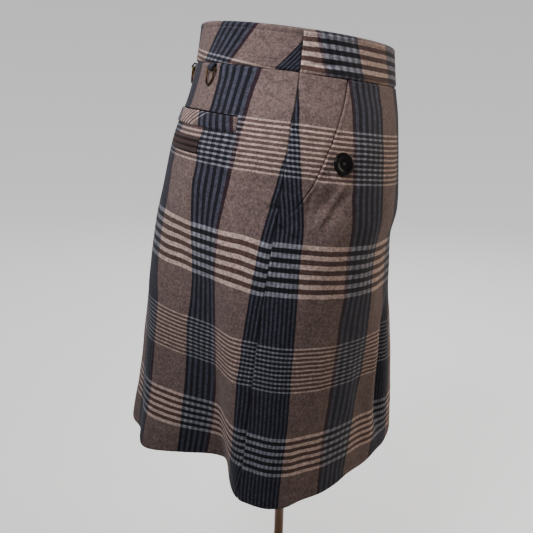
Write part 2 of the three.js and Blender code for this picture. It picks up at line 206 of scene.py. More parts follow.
class Lengths:
    """Lengths along the folded skirt: round it from centre front or centre back, and down it."""

    def __init__(self):
        self.turns = np.linspace(-200, 280, 961)
        self.drops = np.concatenate([np.linspace(-BAND_HEIGHT, -0.5, 24), np.linspace(0, SKIRT_LENGTH, 197)])
        points = skirt_point(self.turns[None, :], self.drops[:, None])
        step = np.linalg.norm(np.diff(points, axis=1), axis=2)
        self.round = np.concatenate([np.zeros((len(points), 1)), np.cumsum(step, axis=1)], axis=1)
        step = np.linalg.norm(np.diff(points, axis=0), axis=2)
        self.fall = np.concatenate([np.zeros((1, points.shape[1])), np.cumsum(step, axis=0)], axis=0)
        self.fall -= self.fall[np.argmin(abs(self.drops))]

    def pick(self, table, turn, drop):
        u = np.interp(turn, self.turns, np.arange(len(self.turns)))
        v = np.interp(drop, self.drops, np.arange(len(self.drops)))
        i = np.clip(u.astype(int), 0, len(self.turns) - 2)
        j = np.clip(v.astype(int), 0, len(self.drops) - 2)
        a, b = u - i, v - j
        return ((table[j, i] * (1 - a) + table[j, i + 1] * a) * (1 - b)
                + (table[j + 1, i] * (1 - a) + table[j + 1, i + 1] * a) * b)

    def from_front(self, turn, drop):
        return self.pick(self.round, 90 + 0 * turn, drop) - self.pick(self.round, turn, drop)

    def from_back(self, turn, drop):
        return self.pick(self.round, turn, drop) - self.pick(self.round, -90 + 0 * turn, drop)

    def down(self, turn, drop):
        return self.pick(self.fall, turn, drop)


LENGTHS = Lengths()


# How far round from centre front or centre back the edges of the dark stripe groups lie, as (drop, length).
# The cloth is eased into the waist, so the groups spread and shift there.
STRIPE_EDGES, PAST_LAST_EDGE = (79, 121, 160, 202), 0.85
FRONT_EDGES = {
    79: [(0, 54), (50, 60), (104, 66), (200, 62), (254, 62), (293, 68), (352, 78), (391, 90)],
    121: [(0, 90), (24, 93.5), (50, 100.3), (104, 107), (150, 104), (232, 104), (280, 108), (301, 116),
          (326, 122), (354, 128), (391, 137)],
    160: [(0, 131), (18, 134.5), (38, 140), (51, 143), (102, 153.5), (194, 152.4), (218, 155.9), (268, 159.8),
          (302, 164.4), (318, 168.4), (344, 173.4), (391, 178)],
    202: [(0, 176), (19, 183.4), (46, 193), (74, 199), (101, 201), (146, 200), (183, 201), (236, 204),
          (284, 208), (314, 211.5), (352, 218), (391, 224)],
}
BACK_EDGES = {
    79: [(0, 57), (100, 64), (162, 67), (230, 78), (391, 80)],
    121: [(0, 94), (15, 99), (44, 105), (81, 111.5), (107, 116), (140, 123), (169, 127.5), (194, 129),
          (214, 127.5), (250, 123), (330, 123), (391, 126)],
    160: [(0, 142), (15, 143), (30, 146), (49, 150.5), (62, 154.5), (78, 158), (102, 159.8), (205, 160),
          (236, 161), (320, 158.8), (391, 157.5)],
    202: [(0, 197), (99, 201.5), (174, 200.5), (238, 198), (274, 199.5), (323, 206), (391, 210)],
}


def by_edges(across, drop, edges):
    """The cloth's own across coordinate from the length round the skirt."""
    side = np.abs(across)
    at = [np.zeros_like(side)] + [np.interp(drop, *zip(*edges[e])) for e in STRIPE_EDGES]
    to = (0,) + STRIPE_EDGES
    out = to[-1] + (side - at[-1]) * PAST_LAST_EDGE
    for k in range(len(to) - 2, -1, -1):
        inside = to[k] + (side - at[k]) * (to[k + 1] - to[k]) / (at[k + 1] - at[k])
        out = np.where(side < at[k + 1], inside, out)
    return np.sign(across) * out


def by_bands(down):
    """The cloth's own down coordinate from the length down the skirt."""
    return np.interp(down, BAND_EDGES_DOWN, BAND_EDGES_EVEN)


def front_plaid(turn, drop):
    """Across and down coordinates of the front's cloth, in millimetres."""
    return by_edges(LENGTHS.from_front(turn, drop), drop, FRONT_EDGES), by_bands(LENGTHS.down(turn, drop))


# The back's bold rows bend down to meet the front's at the right side seam
BEND_DROP, BEND_HEIGHT, BEND_WIDTH, BEND_BY = 160, 50, 34, 4.4
BACK_SHIFT, FACING_SHIFT = 2.0, 1.2


def back_plaid(turn, drop):
    from_seam = (right_seam(drop) - turn) * MM_PER_DEGREE
    bent = smooth(1 - from_seam / BEND_WIDTH) * np.exp(-((drop - BEND_DROP) / BEND_HEIGHT)**2)
    down = LENGTHS.down(turn, drop) + BACK_SHIFT - BEND_BY * bent
    return by_edges(LENGTHS.from_back(turn, drop), drop, BACK_EDGES), by_bands(down)


def facing_plaid(turn, drop):
    across, down = front_plaid(turn, drop)
    return across, down + FACING_SHIFT


# Pieces cut on their own: where their cloth starts and how it changes across and down, for its across and
# its down coordinate. The welt is cut on the bias, so its stripes lean.
FRONT_BAND_CUT = (12.2, 0.97, 0.16), (175.54, 0.0, 1.045)
BACK_BAND_CUT = (64.5, 0.9, 0.648), (61.602, -0.098, 0.98)
WELT_CUT = (68.02, 0.84, -0.546), (-3.508, 0.546, 0.84)
TAB_CUT = (60.0, 1.0, 0.0), (10.0, 0.0, 1.0)


def cut_plaid(across, drop, cut):
    return [start + by_across * across + by_drop * drop for start, by_across, by_drop in cut]


def front_band_plaid(turn, drop):
    return cut_plaid(LENGTHS.from_front(turn, drop), drop, FRONT_BAND_CUT)


def back_band_plaid(turn, drop):
    return cut_plaid(LENGTHS.from_back(turn, drop), drop, BACK_BAND_CUT)


def welt_plaid(turn, drop):
    return cut_plaid(LENGTHS.from_back(turn, drop), drop, WELT_CUT)


# Creases and rolled edges
def along_line(turn, drop, line):
    """Distance in millimetres from a line of (turn, drop) places, and the share run along it."""
    px, py = turn * MM_PER_DEGREE, drop
    best, share = np.full(np.shape(px), 1e9), np.zeros(np.shape(px))
    pts = [(t * MM_PER_DEGREE, d) for t, d in line]
    spans = [math.dist(a, b) for a, b in zip(pts, pts[1:])]
    total, run = sum(spans), 0.0
    for (ax, ay), (bx, by), span in zip(pts, pts[1:], spans):
        k = np.clip(((px - ax) * (bx - ax) + (py - ay) * (by - ay)) / span**2, 0, 1)
        d = np.hypot(px - ax - k * (bx - ax), py - ay - k * (by - ay))
        closer = d < best
        best, share = np.where(closer, d, best), np.where(closer, (run + k * span) / total, share)
        run += span
    return best, share


def crease(turn, drop, line, width, depth, taper):
    """A soft trough or ridge that fades out over a share of its length at both ends."""
    away, share = along_line(turn, drop, line)
    return depth * np.exp(-(away / width)**2) * smooth(np.minimum(share, 1 - share) / taper)


# name: line of (turn, drop) places, half width, depth (minus is a trough), taper
CREASES = {
    "front": {
        "pocket_bag": ([(24.5, 83), (20, 98), (16, 110), (7, 135)], 4.0, 1.5, 0.25),
        "pocket_bag_under": ([(27, 88), (19, 112), (10, 138)], 6.0, -1.3, 0.3),
        "pocket_corner": ([(-6.6, 127), (-4.3, 132), (-1.7, 137), (2.7, 140)], 2.4, -2.6, 0.25),
        "pocket_end": ([(-8, 115), (-5, 114), (-2, 112.5)], 2.2, -2.0, 0.25),
        "pocket_side": ([(6.9, 97), (6, 108), (5.7, 124)], 3.0, -1.5, 0.3),
        "pocket_hollow": ([(22, 98), (12, 110), (4, 120)], 11, -3.0, 0.3),
        "pocket_corner_ridge": ([(-3, 128), (3, 141), (6, 152)], 6, 1.3, 0.3),
        "front_crease": ([(76, 205), (70, 245), (67, 284), (66, 330), (67, 391)], 11, -8.5, 0.35),
        "front_roll": ([(60, 215), (57, 280), (56, 340), (56, 391)], 14, 3.4, 0.35),
        "front_drag": ([(12, 60), (30, 74), (52, 84)], 12, -1.3, 0.35),
        "front_low": ([(24, 230), (22, 300), (20, 391)], 14, -1.4, 0.4),
        "front_mid": ([(36, 260), (38, 330), (39, 391)], 12, 1.3, 0.4),
        "button_pull": ([(6, 92), (14, 82), (21, 74)], 5, -1.0, 0.35),
        "left_bag": ([(155.5, 83), (160, 99), (164, 112), (172, 133)], 4.5, 1.4, 0.25),
        "left_corner": ([(185.5, 127), (183, 135), (180, 140)], 2.8, -0.8, 0.3),
        "left_crease": ([(104, 220), (109, 280), (112, 391)], 12, -6.0, 0.35),
        "left_roll": ([(122, 225), (124, 300), (126, 391)], 15, 1.8, 0.35),
        "left_drag": ([(168, 62), (150, 76), (130, 83)], 12, -0.7, 0.35),
        "left_low": ([(154, 250), (157, 320), (158, 391)], 14, -1.5, 0.4),
    },
    "back": {
        "seam_wrinkle": ([(-11.5, 116.5), (-8.7, 115), (-4, 113)], 2.3, -2.4, 0.25),
        "seam_wrinkle_low": ([(-15, 146), (-11, 142), (-8, 141)], 3.5, -1.0, 0.3),
        "seat_soft": ([(-62, 120), (-50, 170), (-44, 240)], 15, -2.6, 0.4),
        "seat_roll": ([(-78, 170), (-70, 250), (-66, 391)], 14, 1.6, 0.4),
        "seat_low": ([(-56, 230), (-54, 300), (-56, 391)], 12, -1.6, 0.4),
        "valley_edge": ([(-22, 190), (-19, 260), (-17, 330)], 8, 1.1, 0.4),
        "welt_sag": ([(-70, 88), (-50, 92), (-32, 86)], 9, -1.1, 0.35),
        "left_seat_soft": ([(-122, 130), (-132, 190), (-136, 250)], 18, -1.5, 0.4),
        "left_seat_roll": ([(-104, 180), (-110, 260), (-114, 391)], 15, 1.5, 0.4),
        "left_wrinkle": ([(-169, 118), (-172, 120), (-175, 119)], 2.8, -0.8, 0.3),
        "back_middle": ([(-90, 200), (-92, 300), (-91, 391)], 13, -1.3, 0.4),
    },
    "band": {
        "band_wedge": ([(4, -7), (10, -8), (20, -8)], 2.0, -1.9, 0.3),
        "band_ripple": ([(-40, -30), (-30, -16), (-24, -6)], 5, -0.5, 0.35),
        "band_ripple_back": ([(-70, -28), (-62, -14), (-56, -5)], 6, -0.5, 0.35),
        "band_ripple_front": ([(40, -28), (46, -15), (50, -5)], 7, -0.4, 0.35),
        "band_left": ([(150, -26), (156, -12), (163, -8)], 5, -0.5, 0.35),
    },
}


def creased(piece, turn, drop):
    total = np.zeros(np.broadcast(turn, drop).shape)
    for line, width, depth, taper in CREASES[piece].values():
        total += crease(turn, drop, line, width, depth, taper)
    # a soft unevenness all over, which grows down the skirt
    grow = smooth(drop / 200)
    a, d = turn * MM_PER_DEGREE, drop
    soft = (0.5 * np.sin(a / 23 + 1.7 * np.sin(d / 61)) * np.sin(d / 47 + 0.8)
            + 0.36 * np.sin(a / 11 + d / 37) * np.sin(d / 29 + 2.1 + a / 90)
            + 0.16 * np.sin(a / 5.3 - d / 19 + 2 * np.sin(a / 40)) * np.sin(d / 13 + a / 31))
    return total + soft * (0.6 + 0.9 * grow) * (0.35 + 0.65 * smooth((d + 6) / 20))


def pucker(away, drop):
    """Small ripples beside a seam."""
    return 0.16 * np.sin(drop / 2.6 + 1.3 * np.sin(drop / 17)) * np.exp(-(away / 6)**2)


def rolled(away, width, depth):
    return -depth * (1 - smooth(away / width))


# Meshes
def new_mesh(name, points, faces, uv=None, sharp=0.9):
    """A smooth mesh from points in millimetres, with edges sharper than an angle in radians kept."""
    mesh = bpy.data.meshes.new(name)
    mesh.from_pydata([tuple(p) for p in (np.asarray(points) / 1000).tolist()], [], faces)
    if uv is not None:
        layer = mesh.uv_layers.new(name="cloth")
        index = np.empty(len(mesh.loops), int)
        mesh.loops.foreach_get("vertex_index", index)
        layer.data.foreach_set("uv", (np.asarray(uv)[index] / 1000).astype(np.float32).ravel())
    mesh.polygons.foreach_set("use_smooth", [True] * len(mesh.polygons))
    if sharp:
        mesh.set_sharp_from_angle(angle=sharp)
    obj = bpy.data.objects.new(name, mesh)
    bpy.context.scene.collection.objects.link(obj)
    return obj


def wall(name, outer, inner, uv):
    """A closed sheet from two equal grids of points."""
    rows, cols = outer.shape[:2]
    n = rows * cols
    k = np.arange(n).reshape(rows, cols)
    a, b, c, d = k[:-1, :-1].ravel(), k[1:, :-1].ravel(), k[1:, 1:].ravel(), k[:-1, 1:].ravel()
    quads = [np.stack([a, b, c, d], 1), np.stack([a, d, c, b], 1) + n]
    for line, back in ((k[:, 0], False), (k[:, -1], True), (k[0, :], True), (k[-1, :], False)):
        p, q = line[:-1], line[1:]
        side = np.stack([p, p + n, q + n, q], 1)
        quads.append(side[:, ::-1] if back else side)
    faces = np.concatenate(quads)
    points = np.concatenate([outer.reshape(-1, 3), inner.reshape(-1, 3)])
    p, q, r, s = points[faces].transpose(1, 0, 2)
    volume = np.sum(np.cross(p, q) * r) + np.sum(np.cross(p, r) * s)
    if volume < 0:
        faces = faces[:, ::-1]
    return new_mesh(name, points, faces.tolist(), np.concatenate([uv.reshape(-1, 2)] * 2))


def spaced(count, dense_ends):
    """Shares from 0 to 1 that lie closer near both ends."""
    t = np.linspace(0, 1, count)
    return t + dense_ends * (smooth(t) - t)


pieces = {}


def sheet_piece(key, name, drops, cols, edges, thickness, offset, lengths):
    """A panel between two edges, each a function that gives the turn at a drop."""
    drops = np.asarray(drops, float)[:, None]
    first, last = edges[0](drops), edges[1](drops)
    turn = first + (last - first) * spaced(cols, 0.5)[None, :]
    drop = drops + 0 * turn
    point, across, down, out, per_degree = skirt_frame(turn, drop)
    lift = offset(turn, drop)[..., None]
    uv = np.stack(lengths(turn, drop), axis=-1)
    pieces[key] = wall(name, point + out * lift, point + out * (lift - thickness), uv)


def beside(line, reach, whole=0):
    """The edge that lies some millimetres from a line of the skirt, toward larger or smaller turns."""
    return lambda drop: line(drop) - whole + reach / skirt_frame(line(drop), drop)[4]


def left_slant(drop):
    return 180 - right_slant(drop)


HALF_GAP = SEAM_GAP / 2
front_of_right, front_of_left = beside(right_seam, HALF_GAP), beside(left_seam, -HALF_GAP)
FRONT_ENDS = (lambda drop: np.where(drop < SLANT_END, right_slant(drop), front_of_right(drop)),
              lambda drop: np.where(drop < SLANT_END, left_slant(drop), front_of_left(drop)))
BACK_ENDS = beside(left_seam, HALF_GAP, 360), beside(right_seam, -HALF_GAP)
BAND_ENDS = front_of_right, front_of_left
RIGHT_ENDS = front_of_right, beside(right_slant, FACING_TUCK)
LEFT_ENDS = front_of_left, beside(left_slant, -FACING_TUCK)


# A cloth edge is rolled in over a width, by a depth
WAIST_ROLL, SEAM_ROLL, SLANT_ROLL = (2.4, 1.4), (1.5, 0.7), (1.2, 0.35)
HEM_TURN, HEM_EDGE = 352, 388.5


def end_rolls(drop):
    """The rolled waist edge, and the turned hem: a little thicker, rounded at the very edge."""
    hem = 0.35 * smooth((drop - HEM_TURN) / 4) - 0.5 * smooth((drop - HEM_EDGE) / 2.5)
    return rolled(drop, *WAIST_ROLL) + hem


def seam_edge(away, drop):
    return rolled(away, *SEAM_ROLL) + pucker(away, drop)


def front_offset(turn, drop):
    right = (turn - right_seam(drop)) * MM_PER_DEGREE
    left = (left_seam(drop) - turn) * MM_PER_DEGREE
    below = smooth((drop - SLANT_END + 2) / 6)
    total = creased("front", turn, drop) + end_rolls(drop)
    total += below * (seam_edge(right, drop) + seam_edge(left, drop))
    slant = np.minimum(turn - right_slant(drop), left_slant(drop) - turn) * MM_PER_DEGREE
    above = 1 - smooth((drop - SLANT_END + 4) / 6)
    return total + above * (0.35 * np.exp(-((slant - 2.4) / 2.4)**2) + rolled(slant, *SLANT_ROLL))


def back_offset(turn, drop):
    right = (right_seam(drop) - turn) * MM_PER_DEGREE
    left = (turn + 360 - left_seam(drop)) * MM_PER_DEGREE
    return creased("back", turn, drop) + end_rolls(drop) + seam_edge(right, drop) + seam_edge(left, drop)


def facing_offset(turn, drop):
    """The facing sinks toward the slanted opening and lies under the front beyond it."""
    right = turn < 90
    from_seam = np.where(right, turn - right_seam(drop), left_seam(drop) - turn)
    width = np.maximum(right_slant(drop) - right_seam(drop), 0.5)
    slant = np.where(right, right_slant(drop) - turn, turn - left_slant(drop)) * MM_PER_DEGREE
    under = np.maximum(1 - smooth((slant - 0.3) / 1.1), smooth((drop - 105) / 13))
    deep = -0.6 * smooth(from_seam / (0.65 * width)) * (1 - under) - (CLOTH + FACING_GAP) * under
    soft = 0.3 * creased("front", turn, drop) + rolled(drop, *WAIST_ROLL)
    return deep + soft + seam_edge(from_seam * MM_PER_DEGREE, drop)


# The band's topstitch below its upper edge, and the band's millimetres in a degree
BAND_EDGE, BAND_MM_PER_DEGREE = 5.2, 2.1


def band_offset(turn, drop):
    top, bottom = drop + BAND_HEIGHT, -drop
    from_seam = np.minimum(abs(wrap(turn - right_seam(drop))), abs(wrap(turn - left_seam(drop))))
    seams = from_seam * BAND_MM_PER_DEGREE
    total = BAND_PROUD + creased("band", turn, drop) * 0.8
    total += rolled(top, 1.8, 1.1) + rolled(bottom, 2.2, 1.3) + rolled(seams, 2.2, 0.7)
    total += 0.25 * np.exp(-((top - 2.6) / 2.0)**2) - 0.42 * np.exp(-((top - BAND_EDGE) / 0.8)**2)
    return total + pucker(np.abs(top - BAND_EDGE), turn * BAND_MM_PER_DEGREE)


def over(parts, count):
    """Drops spread evenly, with extra rows at the named ones."""
    even = np.linspace(parts[0], parts[-1], count)
    return np.unique(np.concatenate([even, parts]))


MAIN_DROPS = over([0, 0.8, 1.6, 3, 118, SLANT_END, 388, 389.5, SKIRT_LENGTH], 176)
FACING_DROPS = over([0, 0.8, 1.6, 3, 118, SLANT_END, SLANT_END + FACING_TUCK], 70)
BAND_DROPS = over([-BAND_HEIGHT, -35.6, -35, -34.2, -33, -1.5, -0.9, -SEAM_GAP], 52)
sheet_piece("front", "skirt_front", MAIN_DROPS, 226, FRONT_ENDS, CLOTH, front_offset, front_plaid)
sheet_piece("back", "skirt_back", MAIN_DROPS, 226, BACK_ENDS, CLOTH, back_offset, back_plaid)
for name, ends in (("facing_right", RIGHT_ENDS), ("facing_left", LEFT_ENDS)):
    sheet_piece(name, name, FACING_DROPS, 44, ends, CLOTH, facing_offset, facing_plaid)
sheet_piece("band_front", "band_front", BAND_DROPS, 240, BAND_ENDS, BAND_WALL, band_offset, front_band_plaid)
sheet_piece("band_back", "band_back", BAND_DROPS, 240, BACK_ENDS, BAND_WALL, band_offset, back_band_plaid)


# What lies on the panels
def on_surface(turn, drop, offset, lift=0.0):
    """Points at a height above a panel's own surface, and the directions out of it."""
    turn, drop = np.broadcast_arrays(np.asarray(turn, float), np.asarray(drop, float))
    point, across, down, out, per_degree = skirt_frame(turn, drop)
    return point + out * (offset(turn, drop) + lift)[..., None], out


def laid_on_back(name, box, grid, thickness, gap, edge, crown, lengths):
    first, last, top, bottom = box
    drop, share = np.meshgrid(np.linspace(top, bottom, grid[0]), spaced(grid[1], 0.6), indexing="ij")
    turn = first + (last - first) * share
    across = np.minimum(turn - first, last - turn) * MM_PER_DEGREE
    inside = np.minimum(across, np.minimum(drop - top, bottom - drop))
    puff = crown * smooth(inside / 5) - edge * (1 - smooth(inside / 1.1))
    outer = on_surface(turn, drop, back_offset, gap + thickness + puff)[0]
    inner = on_surface(turn, drop, back_offset, gap)[0]
    pieces[name] = wall(name, outer, inner, np.stack(lengths(turn, drop), -1))


def own_lengths(turn, drop):
    return LENGTHS.from_back(turn, drop), drop


# first and last turn, top and bottom drop
WELT, PATCH = (-78.0, -27.0, 43.5, 56.5), (-71.5, -45.5, 66, 80)
MOUTH, LIP = (-77.4, -27.6, 42.1, 43.5), (-77.7, -27.3, 40.4, 42.0)
laid_on_back("welt", WELT, (22, 110), 1.2, LIE_GAP, 0.5, 0.35, welt_plaid)
laid_on_back("patch", PATCH, (26, 70), 1.0, LIE_GAP, 0.4, 0.15, own_lengths)
# The pocket's mouth along the welt's top edge, covered by a near-black strip of painted shade for the shadow
# in the gap, and the cloth's lip above it
laid_on_back("pocket_mouth", MOUTH, (5, 60), 0.3, 0.02, 0.1, 0.0, own_lengths)
laid_on_back("pocket_lip", LIP, (7, 90), 0.5, 0.05, 0.35, 0.1, back_plaid)


def circle(sides):
    return np.arange(sides) / sides * 2 * np.pi


def turned(profile, sides):
    """Rings of a turned solid from a profile of reach and height."""
    a = circle(sides)
    return [np.stack([r * np.cos(a), r * np.sin(a), z + 0 * a], -1) for r, z in profile]


def run_along(points):
    """Length run along a line at each of its points."""
    return np.concatenate([[0], np.cumsum(np.linalg.norm(np.diff(points, axis=0), axis=1))])


def loft(rings, flip=False, closed=False, caps=()):
    """Points and faces of rings joined in turn; caps are the points that the first and last ring run to."""
    rings = np.asarray(rings, float)
    rows, sides = rings.shape[:2]
    points, faces = rings.reshape(-1, 3).tolist(), []
    for i in range(rows if closed else rows - 1):
        p, q = i * sides, (i + 1) % rows * sides
        for k in range(sides):
            j = (k + 1) % sides
            faces.append([p + k, q + k, q + j, p + j])
    for cap, start in zip(caps, (0, (rows - 1) * sides)):
        points.append(list(cap))
        for k in range(sides):
            face = [start + k, start + (k + 1) % sides, len(points) - 1]
            faces.append(face[::-1] if start else face)
    return points, [face[::-1] for face in faces] if flip else faces


def tube(path, radius, sides=12, closed=False):
    """Points and faces of a round wire along a path."""
    path = np.asarray(path, float)
    ahead = np.roll(path, -1, 0) - np.roll(path, 1, 0)
    if not closed:
        ahead[0], ahead[-1] = path[1] - path[0], path[-1] - path[-2]
    ahead = unit(ahead)
    guide = np.eye(3)[2 if abs(ahead[0][2]) < 0.9 else 0]
    side = np.empty_like(path)
    for i, along in enumerate(ahead):
        guide = guide - along * np.dot(guide, along)
        guide = guide / np.linalg.norm(guide)
        side[i] = guide
    other = np.cross(ahead, side)
    c, s = np.cos(circle(sides))[:, None], np.sin(circle(sides))[:, None]
    radius = np.broadcast_to(radius, len(path))[:, None, None]
    points, faces = loft(path[:, None] + radius * (c * side[:, None] + s * other[:, None]), True, closed)
    if not closed:
        end = len(points) - sides
        faces += [list(range(sides))[::-1], list(range(end, end + sides))]
    return points, faces


def joined(parts):
    points, faces = [], []
    for p, f in parts:
        base = len(points)
        points += p
        faces += [[i + base for i in face] for face in f]
    return points, faces


def stitch_row(points, normals, length=2.3, gap=0.9, radius=0.24, sink=0.05):
    """Short threads along a line on the cloth, each dipping in at its ends."""
    run = run_along(points)
    lift = np.array([-0.35, 0.6, 1.0, 0.6, -0.35]) * radius - sink
    parts, at = [], 0.0
    while at + length < run[-1]:
        s = at + length * np.array([0, 0.12, 0.5, 0.88, 1])
        p, n = [np.stack([np.interp(s, run, v[:, k]) for k in range(3)], 1) for v in (points, normals)]
        parts.append(tube(p + unit(n) * lift[:, None], radius * np.array([0.55, 0.9, 1, 0.9, 0.55]), 6))
        at += length + gap
    return joined(parts)


threads = {}


def stitched(name, offset, *lines):
    """One mesh of the stitches along lines of (turn, drop, lift, stitch sizes) on one surface."""
    rows = [stitch_row(*on_surface(turn, drop, offset, lift), *sizes) for turn, drop, lift, sizes in lines]
    threads[name] = new_mesh(name, *joined(rows), sharp=None)


# length, gap, radius and sink of the stitches
SLANT_STITCH, WELT_END_STITCH = (2.0, 1.0, 0.2, 0.12), (1.7, 0.5, 0.22, 0.0)
WELT_STITCH, PATCH_STITCH = (1.9, 1.0, 0.18, 0.08), (1.7, 0.8, 0.16, 0.05)
BAND_STITCH_DROP, WELT_TOP, PATCH_TOP = BAND_EDGE - BAND_HEIGHT, LIE_GAP + 1.25, LIE_GAP + 1.05
stitched("stitch_band_front", band_offset, (np.linspace(3, 177, 500), BAND_STITCH_DROP, 0, ()))
stitched("stitch_band_back", band_offset, (np.linspace(-183, 1, 520), BAND_STITCH_DROP, 0, ()))
stitched("stitch_band_low", band_offset, (np.linspace(-27, -5, 60), np.linspace(-8.2, -8.8, 60), 0, ()))
slant_drops = np.linspace(4, 118, 160)
slant_turns = right_slant(slant_drops) + 3.2 / MM_PER_DEGREE
stitched("stitch_slant_right", front_offset, (slant_turns, slant_drops, 0, SLANT_STITCH))
stitched("stitch_slant_left", front_offset, (180 - slant_turns, slant_drops, 0, SLANT_STITCH))
# A row below the welt, and one on each of its ends, which lies higher by the welt's own thickness
end_drops = np.linspace(WELT[2] - 1, WELT[3], 20)
stitched("stitch_welt", back_offset,
         *[(turn, end_drops, WELT_TOP, WELT_END_STITCH) for turn in (WELT[0] + 0.8, WELT[1] - 0.8)],
         (np.linspace(WELT[0] + 1, WELT[1] - 1, 160), WELT[3] + 0.9, 0, WELT_STITCH))
PATCH_SIDES, PATCH_ENDS = (-71.0, -46.0), (67.2, 78.8)
stitched("stitch_patch", back_offset,
         *[(np.linspace(*PATCH_SIDES, 90), drop, PATCH_TOP, PATCH_STITCH) for drop in PATCH_ENDS],
         *[(turn, np.linspace(*PATCH_ENDS, 20), PATCH_TOP, PATCH_STITCH) for turn in PATCH_SIDES])


class Spot:
    """A place above the skirt with its own directions: across, up the cloth and out of it."""

    def __init__(self, turn, drop, lift):
        point, self.across, self.down, self.out, per_degree = skirt_frame(np.array(turn), np.array(drop))
        self.base = point + self.out * lift

    def at(self, across, up, out):
        across, up, out = [v[..., None] for v in np.broadcast_arrays(across, up, out)]
        return self.base + across * self.across - up * self.down + out * self.out


# Buttons: the outer rings, and the height of the face over the distance from its middle
BUTTON_SIDES, BUTTON_RIM = 96, (9.5, 9.75, 9.92, 10.0)
BUTTON_REACH = [0, 4.6, 5.6, 6.9, 8.3, 9.2, 9.7, 10.0]
BUTTON_FACE = [1.75, 1.8, 2.05, 2.85, 3.0, 2.75, 2.2, 1.4]
BUTTON_EDGE = ((10.0, 0.8), (9.6, 0.25), (8.6, 0.0))
HOLES = np.array([(1.45, 1.45), (-1.45, 1.45), (-1.45, -1.45), (1.45, -1.45)])
HOLES_APART, HOLE_RADIUS, HOLE_DEPTH = 4.1, 0.55, 1.3


def button_height(x, y):
    height = np.interp(np.hypot(x, y), BUTTON_REACH, BUTTON_FACE)
    for hx, hy in HOLES:
        height = height - HOLE_DEPTH * (1 - smooth((np.hypot(x - hx, y - hy) - HOLE_RADIUS) / 0.35))
    return height


def make_button(side, turn, drop):
    """A turned button with a raised rim and four holes, and its crossed threads."""
    spot, name = Spot(turn, drop, LIE_GAP), "horn_button_" + side
    reach = np.concatenate([np.linspace(0.25, 3.2, 22), np.linspace(3.45, 9.2, 20), BUTTON_RIM])
    face = turned([(r, 0.0) for r in reach], BUTTON_SIDES)
    for ring in face:
        ring[:, 2] = button_height(ring[:, 0], ring[:, 1])
    rings = face + turned(BUTTON_EDGE, BUTTON_SIDES)
    points, faces = loft(rings, caps=((0, 0, float(button_height(0, 0))), (0, 0, 0)))
    points = np.array(points)
    pieces["button_" + side] = new_mesh(name, spot.at(*points.T), faces, points[:, :2] + 50)
    parts, t = [], np.linspace(0, 1, 9)
    height = BUTTON_FACE[0] + 0.3 * np.sin(np.pi * t) - 0.9 * (np.abs(t - 0.5) > 0.49)
    for start, end in ((HOLES[0], HOLES[2]), (HOLES[1], HOLES[3])):
        run = end - start
        for shift in (-0.17, 0.17):
            aside = np.array([-run[1], run[0]]) / HOLES_APART * shift
            line = start + run * t[:, None] + aside
            parts.append(tube(spot.at(line[:, 0], line[:, 1], height), 0.2, 6))
    threads["button_thread_" + side] = new_mesh(name + "_thread", *joined(parts), sharp=None)


make_button("right", 21.4, 72.0)
make_button("left", 158.6, 72.0)


# Tabs and rings
# half width, height and wire's half thickness
RING, PULL = (6.6, 15.5, 0.9), (2.6, 12.0, 0.6)
TAB_TUNNEL, TAB_CLOTH, TAB_RISE, TAB_WIDTH, TAB_DROP = 1.3, 0.9, 4.4, 9.4, 5.0
FOLD_START = 0.35


def loop_mesh(name, spot, half_width, height, wire, lean):
    """A D-shaped loop hanging from its bar at a lean to the cloth."""
    path = [(half_width * s, 0.0) for s in np.linspace(-0.9, 0.9, 13)]
    for i in range(49):
        angle = math.pi * i / 48
        rise = math.sin(angle)**0.8 if 0 < i < 48 else 0.0
        path.append((half_width * math.cos(angle), height * max(rise, 0.035)))
    across, hang = np.array(path).T
    lean = math.radians(lean)
    centres = spot.at(across, -hang * math.cos(lean), -hang * math.sin(lean))
    return new_mesh(name, *tube(centres, wire, 16, closed=True), sharp=None)


def fold_line(start, reach):
    """Side view of one face of the folded strip: down in front, round the bar and up behind."""
    top, bend = np.array([start, TAB_RISE]), reach * np.array([math.cos(FOLD_START), math.sin(FOLD_START)])
    line = [top + (bend - top) * k for k in (0, 0.35, 0.7)]
    line += [(reach * math.cos(a), reach * math.sin(a)) for a in np.linspace(FOLD_START, -np.pi, 26)]
    return np.array(line + [(-reach, TAB_RISE * 0.5), (-reach, TAB_RISE)])


def tab_mesh(name, spot):
    """A strip folded round the ring's bar, its two ends caught in the waist seam."""
    share = np.linspace(-0.5, 0.5, 15)
    tuck = 0.28 * (1 - smooth((0.5 - np.abs(share)) * TAB_WIDTH / 0.9))
    outer, inner = fold_line(0.0, TAB_TUNNEL + TAB_CLOTH), fold_line(-TAB_CLOTH, TAB_TUNNEL)
    grids = []
    for line in (outer, inner):
        tucked = line[:, None] + unit((outer + inner) / 2 - line)[:, None] * tuck[:, None]
        grids.append(spot.at(share * TAB_WIDTH, tucked[..., 1], tucked[..., 0]))
    across, down = np.meshgrid(share * TAB_WIDTH, run_along(outer))
    return wall(name, *grids, np.stack(cut_plaid(across, down, TAB_CUT), -1))


for word, turn, lean in (("right", -49.0, 1), ("centre", -90.0, 4)):
    spot = Spot(turn, TAB_DROP, LIE_GAP + TAB_TUNNEL + TAB_CLOTH)
    pieces["tab_" + word] = tab_mesh("folded_tab_" + word, spot)
    pieces["ring_" + word] = loop_mesh("brass_ring_" + word, spot, *RING, lean)


# Zip slider and pull
ZIP_DROP, ZIP_TUNNEL, ZIP_REACH, ZIP_WIDTH, ZIP_BEVEL, ZIP_NECK = -30.0, 1.0, 1.8, 3.2, 0.35, 4.0


